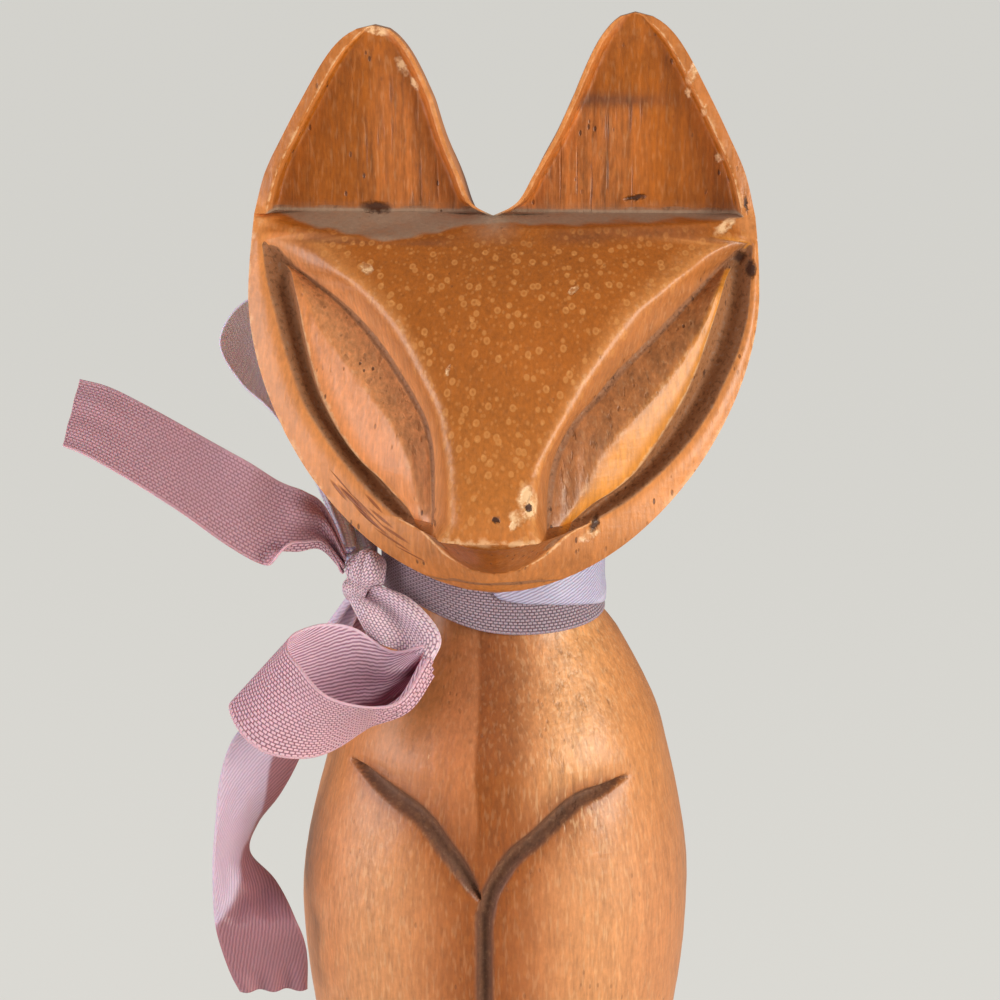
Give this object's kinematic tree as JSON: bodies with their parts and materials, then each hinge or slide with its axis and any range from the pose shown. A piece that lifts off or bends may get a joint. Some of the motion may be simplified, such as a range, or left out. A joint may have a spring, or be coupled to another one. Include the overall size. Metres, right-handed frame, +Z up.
{
  "type": "carved wooden cat figurine",
  "caption": "Slim sitting cat carved from one block of wood, with a shield-shaped face, slanting leaf eyes, hollowed ears and gouged chest lines, and a ribbon bow tied round its neck.",
  "frame": {"origin": "centre of the flat underside of the figure's foot", "axes": "+Z up from the foot to the ears; the cat looks along -Y, so its own left side is +X; the bow is on -X"},
  "size_m": [0.1016, 0.0768, 0.2539],
  "materials": {
    "carved_wood": "old satin varnish over pale brown hardwood, chipped along the edges",
    "satin_ribbon": "woven lavender ribbon, satin on one side"
  },
  "bodies": {
    "root": {"cat_figure": "carved_wood", "neck_band": "satin_ribbon", "knot": "satin_ribbon", "bow_tab": "satin_ribbon", "front_loop": "satin_ribbon", "rear_loop": "satin_ribbon", "long_tail": "satin_ribbon", "hanging_tail": "satin_ribbon"}
  },
  "joints": []
}
